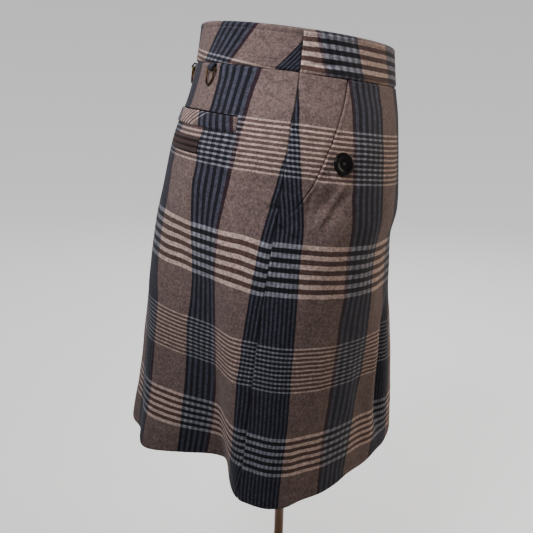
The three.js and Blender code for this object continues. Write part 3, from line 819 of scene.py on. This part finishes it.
def slider_mesh(spot):
    """A body round below its tunnel and running up into a narrow neck, with softened edges."""
    a = circle(48)
    upper, half_turn, corners = a < np.pi, a / np.pi, (0, 0.45, 0.62, 1)
    neck_out = np.interp(half_turn, corners, (ZIP_REACH, 0.2, -ZIP_REACH, -ZIP_REACH))
    neck_up = np.interp(half_turn, corners, (0, ZIP_NECK, ZIP_NECK, 0))
    side = np.stack([np.where(upper, neck_out, ZIP_REACH * np.cos(a)),
                     np.where(upper, neck_up, ZIP_REACH * np.sin(a))], -1)
    inset = ZIP_BEVEL * np.array([1, 0.3, 0, 0, 0, 0.3, 1])
    from_end = ZIP_BEVEL * np.array([0, 0.3, 1])
    across = np.concatenate([from_end - ZIP_WIDTH / 2, [0], (ZIP_WIDTH / 2 - from_end)[::-1]])
    rings = []
    for x, less in zip(across, inset):
        line = side - unit(side) * less
        rings.append(spot.at(x, line[:, 1], line[:, 0]))
    for x in across[::-1]:
        rings.append(spot.at(x, ZIP_TUNNEL * np.sin(a), ZIP_TUNNEL * np.cos(a)))
    return new_mesh("zip_slider_body", *loft(rings, flip=True, closed=True), sharp=0.6)


zip_spot = Spot(float(left_seam(ZIP_DROP)), ZIP_DROP, BAND_PROUD + LIE_GAP + ZIP_REACH)
pieces["slider"] = slider_mesh(zip_spot)
pieces["pull"] = loop_mesh("zip_pull_loop", zip_spot, *PULL, 3)


# Hip form, pole and base
FORM_BOTTOM = SEAM_Z - 225
# drop, distance inside the skirt, share that the ring is drawn to a level, and the level above the bottom
FORM = ((-34, 9, 0, 0), (-32, 4, 0, 0), (-28, 2.5, 0, 0), (-20, 2.4, 0, 0), (-4, 2.4, 0, 0), (6, 6.5, 0, 0),
        (40, 8, 0, 0), (90, 10, 0, 0), (140, 14, 0, 0), (180, 22, 0, 0), (208, 34, 0.8, 22), (222, 52, 1, 5),
        (226, 72, 1, 0))
# The ring from which the form is rounded, and how many finer rings each stretch has
FORM_ROUNDED, FORM_RINGS = 4, ((0, 4, 13), (4, 9, 46), (9, 12, 24))
# The cover's seams: degrees apart, half width in degrees, depth, and the ring from which they show
FORM_SEAMS, FORM_SEAM_WIDTH, FORM_SEAM_DEPTH, FORM_SEAMS_FROM = 45, 0.9, 0.45, 4.6


def shrunk(ring, shares):
    middle = ring.mean(axis=0)
    return [middle + (ring - middle) * share for share in shares]


def make_form():
    """A linen cover with seams in eight places, flat at the top and rounded in at the bottom."""
    turns = np.arange(180) * 2.0
    rings = []
    for drop, inset, share, level in FORM:
        point, across, down, out, per_degree = skirt_frame(turns, drop, False)
        ring = point - out * inset
        ring[..., 2] += (FORM_BOTTOM + level - ring[..., 2]) * share
        rings.append(ring)
    fine = np.unique(np.concatenate([np.linspace(*stretch) for stretch in FORM_RINGS]))
    grid, last = [], len(FORM) - 1
    for f in fine:
        i = int(min(f, last - 1))
        t = f - i
        p0, p1, p2, p3 = rings[max(i - 1, 0)], rings[i], rings[i + 1], rings[min(i + 2, last)]
        straight = p1 + (p2 - p1) * t
        curved = 0.5 * (2 * p1 + (p2 - p0) * t + (2 * p0 - 5 * p1 + 4 * p2 - p3) * t * t
                        + (3 * p1 - p0 - 3 * p2 + p3) * t**3)
        grid.append((straight + curved) / 2 if f >= FORM_ROUNDED else straight)
    grid = np.array(grid)
    seams = sum(np.exp(-(wrap(turns - at) / FORM_SEAM_WIDTH)**2) for at in range(0, 360, FORM_SEAMS))
    outward = grid - grid.mean(axis=1, keepdims=True)
    outward[..., 2] = 0
    below = smooth((fine - FORM_SEAMS_FROM) / 0.6)[:, None]
    grid = grid - unit(outward) * (FORM_SEAM_DEPTH * seams * below)[..., None]
    rings = shrunk(grid[0], (0.2, 0.5, 0.8, 0.96)) + list(grid) + shrunk(grid[-1], (0.85, 0.6, 0.3))
    points, faces = loft(rings, caps=(grid[0].mean(axis=0), grid[-1].mean(axis=0)))
    return new_mesh("hip_form_cover", points, faces, sharp=0.8)


def lathe(name, profile, sides, round_by):
    """A turned solid from a profile of reach and height, its corners rounded."""
    profile = np.asarray(profile, float)
    line = []
    for before, p, after in zip(profile, profile[1:], profile[2:]):
        a, b = before - p, after - p
        la, lb = np.linalg.norm(a), np.linalg.norm(b)
        cut = min(round_by, la * 0.45, lb * 0.45)
        q0, q1 = p + a / la * cut, p + b / lb * cut
        line += [(1 - t)**2 * q0 + 2 * t * (1 - t) * p + t * t * q1 for t in np.linspace(0, 1, 5)]
    caps = (0, 0, profile[0][1]), (0, 0, profile[-1][1])
    points, faces = loft(turned(line, sides), flip=True, caps=caps)
    return new_mesh(name, points, faces, sharp=0.5)


POLE_TOP, POLE_FOOT = FORM_BOTTOM - 0.3, 16.3
POLE = [(0, POLE_FOOT), (5.5, POLE_FOOT), (5.5, POLE_TOP - 14), (9, POLE_TOP - 6), (24, POLE_TOP - 4),
        (24, POLE_TOP), (0, POLE_TOP)]
BASE = [(0, 0), (126, 0), (130, 3), (130, 8), (126, 11), (72, 12.6), (20, 14), (14, 16), (0, 16)]
pieces["form"] = make_form()
pieces["pole"] = lathe("steel_pole", POLE, 64, 1.2)
pieces["base"] = lathe("steel_base", BASE, 160, 2.0)


# Materials
def linear(colour):
    out = []
    for c in colour:
        c /= 255
        out.append(c / 12.92 if c <= 0.04045 else ((c + 0.055) / 1.055)**2.4)
    return (*out, 1.0)


class Value:
    """What a node gives; sums, products and remainders of it are nodes in turn."""

    def __init__(self, graph, socket):
        self.graph, self.socket = graph, socket

    def __add__(self, other):
        return self.graph.math("ADD", self, other)

    def __sub__(self, other):
        return self.graph.math("SUBTRACT", self, other)

    def __rsub__(self, other):
        return self.graph.math("SUBTRACT", other, self)

    def __mul__(self, other):
        return self.graph.math("MULTIPLY", self, other)

    def __mod__(self, other):
        return self.graph.math("FLOORED_MODULO", self, other)


class Graph:
    def __init__(self, name):
        self.material = bpy.data.materials.new(name)
        self.material.use_nodes = True
        self.tree = self.material.node_tree
        self.shader = self.tree.nodes["Principled BSDF"]

    def put(self, socket, value):
        if isinstance(value, Value):
            self.tree.links.new(value.socket, socket)
        else:
            socket.default_value = value

    def node(self, kind, values=(), output=0, **settings):
        """A node with its settings, its input values by name or number, and one of its outputs."""
        made = self.tree.nodes.new(kind)
        for key, value in settings.items():
            setattr(made, key, value)
        for key, value in dict(values).items():
            self.put(made.inputs[key], value)
        return Value(self, made.outputs[output])

    def math(self, op, *values, clamp=False):
        return self.node("ShaderNodeMath", enumerate(values), operation=op, use_clamp=clamp)

    def ramp(self, x, low, high, to_low=0.0, to_high=1.0):
        """Smooth step from low to high."""
        values = {"Value": x, "From Min": low, "From Max": high, "To Min": to_low, "To Max": to_high}
        return self.node("ShaderNodeMapRange", values, interpolation_type="SMOOTHSTEP")

    def between(self, x, low, high, soft=0.3):
        """One from low to high, with soft ends."""
        return self.ramp(x, low - soft, low + soft) * self.ramp(x, high - soft, high + soft, 1.0, 0.0)

    def mix(self, share, a, b, blend="MIX"):
        return self.node("ShaderNodeMix", {0: share, 6: a, 7: b}, 2, data_type="RGBA", blend_type=blend)

    def xyz(self, x, y, z=0.0):
        return self.node("ShaderNodeCombineXYZ", enumerate((x, y, z)))

    def split(self, vector):
        """The three parts of a vector or a colour."""
        first = self.node("ShaderNodeSeparateXYZ", {0: vector})
        return [Value(self, socket) for socket in first.socket.node.outputs]

    def noise(self, where, scale, detail=2.0, roughness=0.5, colour=False):
        values = {"Vector": where, "Scale": scale, "Detail": detail, "Roughness": roughness}
        return self.node("ShaderNodeTexNoise", values, 1 if colour else 0)

    def cloth_mm(self):
        """The cloth's own coordinates in millimetres, across and down."""
        across, down, unused = self.split(self.node("ShaderNodeUVMap", uv_map="cloth"))
        return across * 1000.0, down * 1000.0

    def place(self):
        return self.node("ShaderNodeTexCoord", output="Object")

    def bump(self, height, strength, distance, **normal):
        values = {"Strength": strength, "Distance": distance, "Height": height, **normal}
        return self.node("ShaderNodeBump", values)

    def surface(self, **values):
        """Puts values on the shader and gives the material."""
        for key, value in values.items():
            self.put(self.shader.inputs[key.replace("_", " ")], value)
        return self.material


# The weave in millimetres. The warp has a group of dark stripes in each repeat, the weft two bands of
# light rows on brown, and both take turns between a fine and a bold pitch.
WARP_REPEAT, WARP_GROUP, THIN_STRIPE, WIDE_STRIPE, MAROON_EDGE = 81.0, (40.0, 79.0), 3.25, 7.09, 75.45
WEFT_REPEAT, FINE_BAND, BOLD_BAND, FINE_ROW, BOLD_ROW = 188.0, (46.0, 91.3), (140.0, 186.0), 4.34, 8.36
TWILL_PITCH = 1.3
# navy, grey, tweed and maroon of the plain cloth, and where a light or a brown row crosses them
PLAIN = ((18, 17, 25), (59, 60, 71), (104, 89, 85), (44, 27, 33))
ON_WHITE = ((98, 99, 109), (138, 139, 144), (190, 166, 154), (136, 118, 120))
ON_BROWN = ((9, 10, 15), (27, 28, 34), (70, 51, 47), (40, 26, 28))
OLIVE_FLECK, MAUVE_FLECK = (90, 82, 62), (124, 92, 98)


def plaid_material():
    g = Graph("plaid_wool")
    u, v = g.cloth_mm()
    # yarns are never quite straight, and their edges are never quite clean
    wander_u, wander_v, unused = g.split(g.noise(g.xyz(u * 0.03, v * 0.03), 1.0, colour=True))
    fray_u = g.noise(g.xyz(u * 0.35, v * 1.1, 3.0), 1.0, 1.0)
    fray_v = g.noise(g.xyz(u * 1.1, v * 0.35, 7.0), 1.0, 1.0)
    uu = wander_u * 1.2 - 0.6 + (fray_u * 0.9 + (u - 0.45))
    vv = wander_v * 1.2 - 0.6 + (fray_v * 0.9 + (v - 0.45))

    # warp: groups of navy and grey stripes with tweed between
    p = uu % WARP_REPEAT
    group = g.between(p, *WARP_GROUP)
    in_group = p - WARP_GROUP[0]
    thin = in_group % THIN_STRIPE
    thin = g.ramp(thin, 1.4, 2.0) * g.ramp(thin, 2.8, THIN_STRIPE, 0.9, 0.25)
    wide = in_group % WIDE_STRIPE
    wide = g.ramp(wide, 3.2, 3.9) * g.ramp(wide, 6.7, WIDE_STRIPE, 1.0, 0.25)
    is_fine = g.math("LESS_THAN", uu % (2 * WARP_REPEAT), WARP_REPEAT)
    is_grey = is_fine * thin + (1.0 - is_fine) * wide
    is_maroon = g.ramp(p, MAROON_EDGE - 0.25, MAROON_EDGE + 0.25) * 0.75

    # weft: a fine band of eleven light rows and a bold band of six
    q = vv % WEFT_REPEAT
    fine_at, bold_at = (q - FINE_BAND[0]) % FINE_ROW, (q - BOLD_BAND[0]) % BOLD_ROW
    fine = g.ramp(fine_at, 1.45, 2.2, 1.0, 0.0) * g.ramp(fine_at, 0.0, 0.35)
    bold = g.ramp(bold_at, 3.85, 4.55, 1.0, 0.0) * g.ramp(bold_at, 0.0, 0.5)
    in_fine, in_bold = g.between(q, *FINE_BAND), g.between(q, *BOLD_BAND)
    white = g.math("ADD", in_fine * (fine * 0.86), in_bold * bold, clamp=True)
    brown = g.math("ADD", in_fine * ((1.0 - fine) * 0.72), in_bold * (1.0 - bold), clamp=True)
    crossed = []
    for navy, grey, tweed, maroon in (PLAIN, ON_BROWN, ON_WHITE):
        dark = g.mix(is_maroon, g.mix(is_grey, linear(navy), linear(grey)), linear(maroon))
        crossed.append(g.mix(group, linear(tweed), dark))
    colour = g.mix(white, g.mix(brown, crossed[0], crossed[1]), crossed[2])

    # melange of mauve and olive flecks in the tweed
    slub = g.noise(g.xyz(u * 0.52, v * 0.52, 2.0), 1.0, 4.0, 0.72, colour=True)
    slub_hue, slub_tone, slub_rough = g.split(slub)
    fleck = g.mix(g.ramp(slub_hue, 0.42, 0.6), linear(OLIVE_FLECK), linear(MAUVE_FLECK))
    tweedness = (1.0 - group) * (white * -0.6 + 0.75) * (brown * -0.5 + 1.0)
    colour = g.mix(tweedness * 0.7, colour, g.mix(0.55, colour, fleck))

    # twill: yarns of warp and weft come up in turn along a diagonal
    rib = g.math("PINGPONG", (u + v) % TWILL_PITCH, TWILL_PITCH / 2) * (2 / TWILL_PITCH)
    yarn_u = g.noise(g.xyz(u * 1.5, v * 0.16, 1.0), 1.0, 1.0, 0.4)
    yarn_v = g.noise(g.xyz(u * 0.16, v * 1.5, 5.0), 1.0, 1.0, 0.4)
    mottle = g.noise(g.xyz(u * 0.13, v * 0.13, 4.0), 1.0, 2.0, 0.6)
    cloudy = g.noise(g.xyz(u * 0.018, v * 0.018, 9.0), 1.0)
    tone = yarn_u * 0.5 + 0.75 + (yarn_v * 0.4 - 0.2)
    tone = tone * (slub_tone * 2.9 - 0.45) * (mottle * 0.7 + 0.65)
    tone = tone * (rib * 0.22 + 0.89) * (cloudy * 0.3 + 0.85)
    yarns = g.bump(rib * 0.6 + (yarn_u * 0.5 + yarn_v * 0.5), 0.55, 0.00022)
    cloth = g.bump(g.noise(g.xyz(u, v), 0.11), 0.25, 0.0009, Normal=yarns)
    return g.surface(Base_Color=g.mix(1.0, colour, tone, "MULTIPLY"), Roughness=slub_rough * 0.18 + 0.74,
                     Normal=cloth, Sheen_Weight=0.07, Sheen_Roughness=0.5, Specular_IOR_Level=0.12)


def patch_material():
    g = Graph("brown_patch_cloth")
    u, v = g.cloth_mm()
    rows = g.math("PINGPONG", v + g.noise(g.xyz(u, v), 0.4) * 0.8, 2.5)
    line = g.ramp(rows, 0.5, 1.6)
    grain = g.noise(g.xyz(u, v), 1.3, 3.0, 0.6)
    colour = g.mix(grain * 0.4, g.mix(line, linear((28, 19, 21)), linear((70, 56, 55))), linear((34, 27, 22)))
    return g.surface(Base_Color=colour, Roughness=grain * 0.2 + 0.55, Specular_IOR_Level=0.06,
                     Normal=g.bump(line + grain * 0.7, 0.5, 0.0002))


def horn_material():
    g = Graph("dark_horn_polished")
    here = g.place()
    grain = g.noise(here, 260.0, 3.0, 0.6)
    values = {"Vector": here, "Scale": 90.0, "Distortion": 9.0, "Detail": 3.0, "Detail Scale": 2.0}
    streak = g.node("ShaderNodeTexWave", values, 1, wave_type="BANDS", bands_direction="Z")
    colour = g.mix(streak, linear((3, 2, 2)), linear((11, 7, 6)))
    return g.surface(Base_Color=g.mix(grain * 0.35, colour, linear((6, 5, 5))), Roughness=grain * 0.15 + 0.2,
                     Normal=g.bump(grain, 0.12, 0.0002), Specular_IOR_Level=0.07,
                     Coat_Weight=0.06, Coat_Roughness=0.06)


def metal_material(name, colour, worn, roughness):
    g = Graph(name)
    here = g.place()
    grain, patches = g.noise(here, 420.0, 3.0, 0.6), g.noise(here, 50.4, 3.0, 0.6)
    return g.surface(Base_Color=g.mix(g.ramp(patches, 0.4, 0.68), linear(colour), linear(worn)), Metallic=1.0,
                     Roughness=grain * 0.22 + (roughness - 0.08), Normal=g.bump(grain, 0.12, 0.0002))


def thread_material(name, colour):
    g = Graph(name)
    grain = g.noise(g.place(), 1500.0, 2.0, 0.6)
    tone = g.mix(grain, linear([c * 0.72 for c in colour]), linear([c * 1.2 for c in colour]))
    return g.surface(Base_Color=tone, Roughness=grain * 0.2 + 0.6, Normal=g.bump(grain, 0.4, 0.0001),
                     Sheen_Weight=0.2)


def linen_material():
    g = Graph("form_linen")
    x, y, z = [part * 1000.0 for part in g.split(g.place())]
    round_at = g.math("ARCTAN2", y, x) * 110.0
    weave = g.math("SINE", z * 5.2) * g.math("SINE", round_at * 5.2)
    slub = g.noise(g.xyz(round_at * 0.1, z * 1.3), 1.0, 3.0, 0.6)
    colour = g.mix(slub, linear((168, 152, 128)), linear((206, 192, 168)))
    return g.surface(Base_Color=g.mix(weave * 0.08 + 0.1, colour, linear((120, 106, 86))),
                     Roughness=slub * 0.15 + 0.78, Sheen_Weight=0.15,
                     Normal=g.bump(weave + slub, 0.35, 0.0002))


def paint_material():
    g = Graph("brown_painted_steel")
    here = g.place()
    orange_peel, patches = g.noise(here, 330.0), g.noise(here, 24.0, 4.0, 0.6)
    tone = g.mix(g.ramp(patches, 0.35, 0.7), linear((92, 58, 31)), linear((108, 71, 40)))
    return g.surface(Base_Color=tone, Roughness=patches * 0.2 + 0.32, Metallic=0.15, Coat_Weight=0.15,
                     Coat_Roughness=0.3, Normal=g.bump(orange_peel, 0.14, 0.0004))


def floor_material():
    g = Graph("studio_floor")
    tone = g.mix(g.noise(g.place(), 1.2), (0.80, 0.80, 0.80, 1), (0.84, 0.84, 0.84, 1))
    return g.surface(Base_Color=tone, Roughness=0.9, Emission_Color=(1, 1, 1, 1), Emission_Strength=0.6,
                     Specular_IOR_Level=0.1)


# Painted shade: a near-black sheet laid over the pocket's opening, where only the gap's shadow would be
def pocket_shade_material():
    g = Graph("pocket_painted_shade")
    tone = g.mix(g.noise(g.place(), 900.0), linear((14, 11, 12)), linear((26, 21, 21)))
    return g.surface(Base_Color=tone, Roughness=0.9, Specular_IOR_Level=0.1)


WOOL, HORN, LINEN = plaid_material(), horn_material(), linen_material()
PAINT, BROWN, POCKET_SHADE = paint_material(), patch_material(), pocket_shade_material()
BRASS = metal_material("brass_antique", (52, 40, 29), (96, 77, 50), 0.3)
GUNMETAL = metal_material("metal_gun", (52, 48, 46), (84, 78, 74), 0.36)
THREAD = thread_material("thread_taupe", (62, 45, 48))
DARK_THREAD = thread_material("thread_dark", (44, 33, 33))

# material, slot: the pieces in them and the node that each stands for
DRESS = (
    (WOOL, "plaid_cloth", {
        "front": "front_panel", "back": "back_panel", "facing_right": "pocket_facing_right",
        "facing_left": "pocket_facing_left", "band_front": "waistband_front", "band_back": "waistband_back",
        "welt": "welt_right", "pocket_lip": None, "tab_right": "ring_tab_right",
        "tab_centre": "ring_tab_centre"}),
    # the pocket mouth's strip carries painted shade, not a cloth of its own
    (POCKET_SHADE, "plaid_cloth", {"pocket_mouth": None}),
    (BROWN, "brown_patch", {"patch": "patch_right"}),
    (HORN, "dark_horn", {"button_right": "button_right", "button_left": "button_left"}),
    (BRASS, "dark_brass", {"ring_right": "d_ring_right", "ring_centre": "d_ring_centre"}),
    (GUNMETAL, "dark_metal", {"slider": "zip_slider", "pull": "zip_pull"}),
    (LINEN, "form_cover", {"form": "hip_form"}),
    (PAINT, "brown_metal", {"pole": "pole", "base": "base"}),
)
MOVING = {"ring_right": "ring_right", "ring_centre": "ring_centre", "pull": "zip_pull_tab"}


def dress(obj, look, body):
    obj.data.materials.append(look)
    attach(obj, body)


for look, slot, wearers in DRESS:
    for key, node in wearers.items():
        dress(pieces[key], look, MOVING.get(key, ROOT))
        if node:
            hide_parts(node)
for key, obj in threads.items():
    is_dark = any(word in key for word in ("button", "welt", "patch"))
    dress(obj, DARK_THREAD if is_dark else THREAD, ROOT)


# Studio, in metres
FLOOR_FLAT, SWEEP_RADIUS, FLOOR_BELOW, WALL = (0.4, 1.0, 2.0, 3.0), 1.4, 0.0002, [(4.4, 2.4), (4.4, 3.6)]


def make_stage():
    """A round floor that sweeps up into a wall."""
    profile = [(r, 0.0) for r in FLOOR_FLAT]
    for a in np.linspace(0, np.pi / 2, 13)[1:]:
        profile.append((FLOOR_FLAT[-1] + SWEEP_RADIUS * np.sin(a), SWEEP_RADIUS * (1 - np.cos(a))))
    points, faces = loft(turned(profile + WALL, 96), caps=((0, 0, 0),))
    points = (np.array(points) - (0, 0, FLOOR_BELOW)) * 1000
    stage = new_mesh("studio_sweep", points, faces, sharp=None)
    stage.data.materials.append(floor_material())
    stage.visible_diffuse = False


def area_light(name, where, toward, size, power, colour=(1, 1, 1), spread=180):
    data = bpy.data.lights.new(name, "AREA")
    data.shape, data.size, data.size_y = "RECTANGLE", size, size
    data.spread = math.radians(spread)
    data.energy, data.color = power, colour
    lamp = bpy.data.objects.new(name, data)
    lamp.location = where
    lamp.rotation_euler = (Vector(toward) - Vector(where)).to_track_quat("-Z", "Y").to_euler()
    bpy.context.scene.collection.objects.link(lamp)


def make_sky():
    """A cool light that is strongest from straight above."""
    world = bpy.data.worlds.new("studio")
    bpy.context.scene.world = world
    world.use_nodes = True
    tree = world.node_tree
    sky = tree.nodes["Background"]
    up = tree.nodes.new("ShaderNodeSeparateXYZ")
    tree.links.new(tree.nodes.new("ShaderNodeTexCoord").outputs["Generated"], up.inputs[0])
    fade = tree.nodes.new("ShaderNodeMapRange")
    tree.links.new(up.outputs[2], fade.inputs["Value"])
    for key, value in (("From Min", -0.05), ("From Max", 1.0), ("To Min", 0.0), ("To Max", 0.42)):
        fade.inputs[key].default_value = value
    tree.links.new(fade.outputs[0], sky.inputs[1])
    sky.inputs[0].default_value = (0.95, 0.96, 1.0, 1)


make_stage()
area_light("key_soft", (-0.66, 0.46, 1.25), (-0.1, 0, 0.74), 0.5, 2.1, (0.97, 0.95, 1.0), 58)
area_light("top_soft", (0.1, 0.1, 1.9), (0, 0, 0.5), 1.6, 3.6)
area_light("front_fill", (0.35, -1.6, 1.25), (0, 0, 0.62), 1.2, 6, (1.0, 0.82, 0.66), 90)
area_light("far_soft", (1.6, -0.3, 1.7), (0, 0, 0.55), 1.2, 16)
make_sky()
